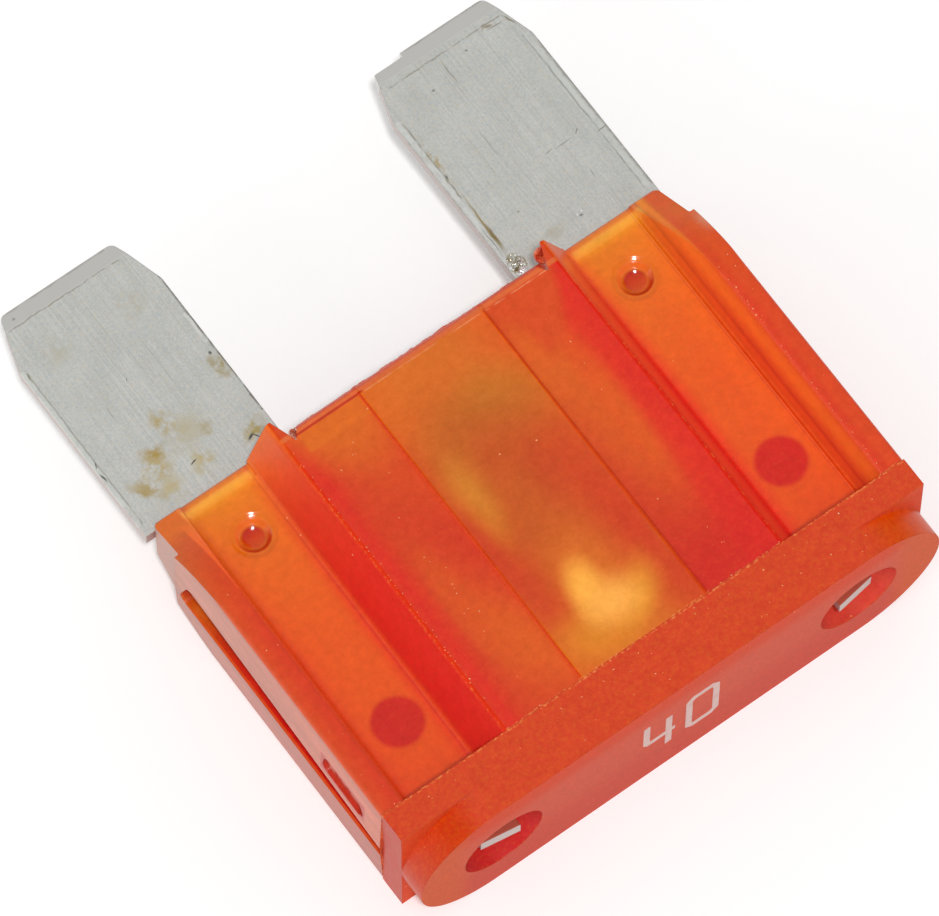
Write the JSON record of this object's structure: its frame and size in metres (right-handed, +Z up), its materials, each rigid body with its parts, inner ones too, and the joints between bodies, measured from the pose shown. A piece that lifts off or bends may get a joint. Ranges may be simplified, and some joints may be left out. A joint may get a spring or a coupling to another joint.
{
  "type": "blade fuse",
  "caption": "Large plug-in automotive blade fuse: a flat translucent orange housing over a stamped metal element with wide blades.",
  "frame": {"origin": "under the middle of the fuse's length and width, on the surface that it lies on", "axes": "+X across the blades, +Y from the head to the blade tips, +Z up out of the face that it doesn't lie on"},
  "size_m": [0.0296, 0.0342, 0.0085],
  "materials": {
    "orange_plastic": "satin",
    "zinc": "satin"
  },
  "bodies": {
    "root": {"housing": "orange_plastic", "fuse_element": "zinc"}
  },
  "joints": []
}
